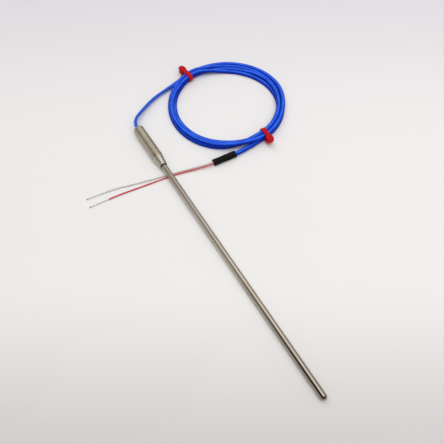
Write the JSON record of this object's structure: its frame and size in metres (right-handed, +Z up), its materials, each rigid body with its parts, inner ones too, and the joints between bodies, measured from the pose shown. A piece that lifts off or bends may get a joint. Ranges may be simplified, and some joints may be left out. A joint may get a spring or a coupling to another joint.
{
  "type": "mineral insulated thermocouple",
  "caption": "Metal-sheathed temperature probe with a swaged pot sleeve and a flat twin cable, coiled and tied, that ends in a heat-shrink sleeve and bared tails.",
  "frame": {"origin": "on the surface that the part lies on, under the middle of the pot and probe", "axes": "+X along the probe from the pot to the tip, +Z up; the axis of the probe dips by about half a degree, because the part rests on the shoulder of its pot and on its tip"},
  "size_m": [0.3622, 0.2478, 0.0114],
  "materials": {
    "sheath_steel": "polished",
    "pot_steel": "polished",
    "mineral_powder": "matte",
    "thermoelement_alloy": "satin",
    "end_seal_resin": "matte",
    "potting_resin": "satin",
    "splice_brass": "satin",
    "splice_insulation": "matte",
    "core_red": "gloss",
    "core_white": "gloss",
    "conductor": "satin",
    "jacket_blue": "gloss",
    "tie_red": "satin",
    "sleeve_black": "satin"
  },
  "bodies": {
    "root": {"probe_sheath": "sheath_steel", "pot_sleeve": "pot_steel", "mineral_core": "mineral_powder", "element_positive": "thermoelement_alloy", "element_negative": "thermoelement_alloy", "hot_junction": "thermoelement_alloy", "sheath_end_seal": "end_seal_resin", "potting_resin": "potting_resin", "splice_ferrule_positive": "splice_brass", "splice_ferrule_negative": "splice_brass", "splice_sleeve_positive": "splice_insulation", "splice_sleeve_negative": "splice_insulation", "pot_core_red": "core_red", "tail_red": "core_red", "pot_core_white": "core_white", "tail_white": "core_white", "pot_conductor_red": "conductor", "pot_conductor_white": "conductor", "bare_end_red": "conductor", "bare_end_white": "conductor", "cable_lead": "jacket_blue", "cable_coil": "jacket_blue", "cable_end": "jacket_blue", "cable_tie_upper": "tie_red", "cable_tie_lower": "tie_red", "end_sleeve": "sleeve_black"}
  },
  "joints": []
}
